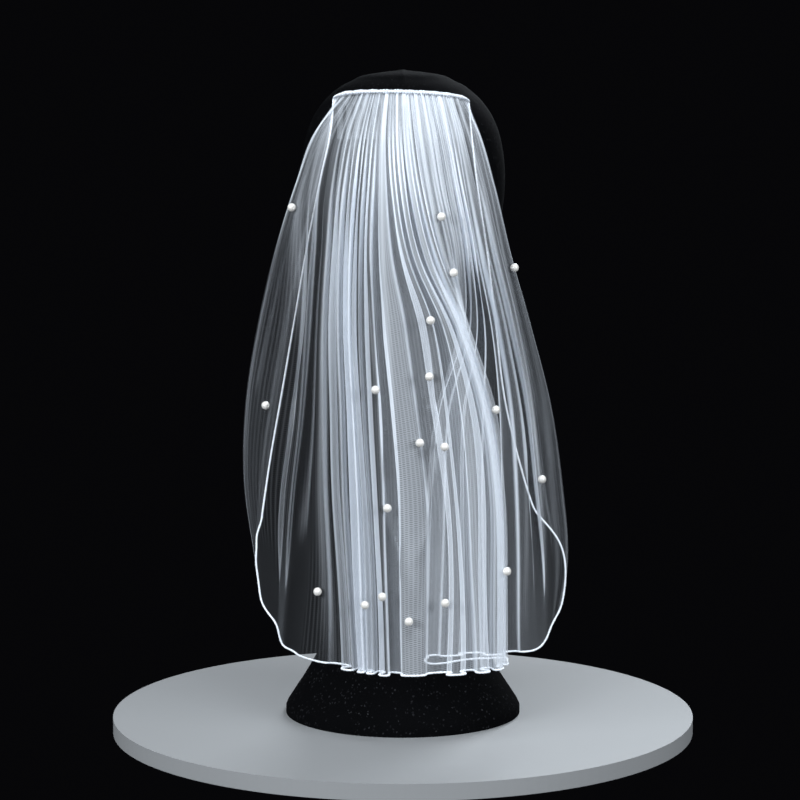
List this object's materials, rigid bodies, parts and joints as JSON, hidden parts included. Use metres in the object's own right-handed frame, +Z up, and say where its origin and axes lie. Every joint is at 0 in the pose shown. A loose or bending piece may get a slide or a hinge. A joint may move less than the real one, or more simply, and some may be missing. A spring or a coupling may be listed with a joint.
{
  "type": "bridal veil on a display head form",
  "caption": "Short sheer bridal veil gathered to a comb, with pearls and a corded edge, worn by a smooth display head form.",
  "frame": {"origin": "centre of the display form's round foot, on the surface that it stands on", "axes": "+Z up; the veil hangs behind the head towards -Y, and the form faces +Y; +X is to the right in the picture"},
  "size_m": [0.2437, 0.2262, 0.4844],
  "materials": {
    "white_net": "sheer white tulle, soft, with a faint cool tint",
    "white_cord": "matte twisted white cord",
    "white_gathers": "white tulle, packed and overcast with thread",
    "clear_plastic": "clear moulded plastic, smooth",
    "pearl": "cream pearl coating, glossy",
    "black_cover": "black fabric cover with a faint sparkle"
  },
  "bodies": {
    "root": {"veil_left_edge": "white_net", "veil_left_wing": "white_net", "veil_back": "white_net", "veil_overlap": "white_net", "veil_right_wing": "white_net", "veil_right_edge": "white_net", "edge_cord": "white_cord", "heading": "white_gathers", "comb": "clear_plastic", "head_form": "black_cover", "pearl_01": "pearl", "pearl_02": "pearl", "pearl_03": "pearl", "pearl_04": "pearl", "pearl_05": "pearl", "pearl_06": "pearl", "pearl_07": "pearl", "pearl_08": "pearl", "pearl_09": "pearl", "pearl_10": "pearl", "pearl_11": "pearl", "pearl_12": "pearl", "pearl_13": "pearl", "pearl_14": "pearl", "pearl_15": "pearl", "pearl_16": "pearl", "pearl_17": "pearl", "pearl_18": "pearl", "pearl_19": "pearl"}
  },
  "joints": []
}
